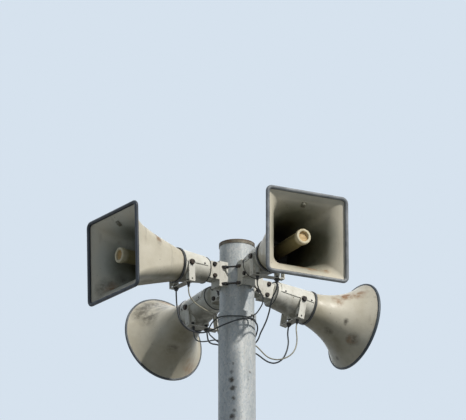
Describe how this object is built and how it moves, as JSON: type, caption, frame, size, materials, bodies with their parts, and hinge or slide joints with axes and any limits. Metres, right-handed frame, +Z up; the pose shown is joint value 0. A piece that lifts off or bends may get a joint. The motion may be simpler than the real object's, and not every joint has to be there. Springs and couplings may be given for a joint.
{
  "type": "pole-mounted warning siren",
  "caption": "Tall round steel mast on a bolted base plate with horn loudspeakers clamped round its head, two with square bells and two with round ones, and hanging cables",
  "frame": {"origin": "middle of the base plate's underside, on the mast's axis", "axes": "+Z up along the mast; -Y is the front, which the picture's camera faces; +X is to the right in the picture"},
  "size_m": [1.3326, 1.364, 6.0353],
  "materials": {
    "galvanised_tube": "satin",
    "galvanised_plate": "satin",
    "weathered_steel": "satin",
    "rusty_cap": "matte",
    "dark_steel": "satin",
    "black_rubber": "matte",
    "rim_rubber": "satin",
    "bell_paint": "satin",
    "housing_paint": "satin",
    "bracket_paint": "satin",
    "gland_plastic": "matte",
    "black_cable": "satin",
    "grey_cable": "satin"
  },
  "bodies": {
    "root": {"base_flange": "galvanised_plate", "lower_tube": "galvanised_tube", "joint_collar": "weathered_steel", "upper_tube": "galvanised_tube", "top_cap": "rusty_cap", "cable_grommet": "black_rubber", "clamp_rods": "dark_steel", "horn_bolts": "dark_steel", "neck_rings": "black_rubber", "fl_bell": "bell_paint", "fr_bell": "bell_paint", "bl_bell": "bell_paint", "br_bell": "bell_paint", "fl_rim": "rim_rubber", "fr_rim": "rim_rubber", "bl_rim": "rim_rubber", "br_rim": "rim_rubber", "fl_center_tube": "bell_paint", "fr_center_tube": "bell_paint", "bl_center_tube": "bell_paint", "br_center_tube": "bell_paint", "fl_housing": "housing_paint", "fr_housing": "housing_paint", "bl_housing": "housing_paint", "br_housing": "housing_paint", "fl_yoke": "bracket_paint", "fr_yoke": "bracket_paint", "bl_yoke": "bracket_paint", "br_yoke": "bracket_paint", "fl_glands": "gland_plastic", "fr_glands": "gland_plastic", "bl_glands": "gland_plastic", "br_glands": "gland_plastic", "fl_mast_bracket": "bracket_paint", "fr_mast_bracket": "bracket_paint", "bl_mast_bracket": "bracket_paint", "br_mast_bracket": "bracket_paint", "fl_cable_black": "black_cable", "fr_cable_black": "black_cable", "bl_cable_black": "black_cable", "br_cable_black": "black_cable", "fl_cable_grey": "grey_cable", "fr_cable_grey": "grey_cable", "bl_cable_grey": "grey_cable", "br_cable_grey": "grey_cable"}
  },
  "joints": []
}
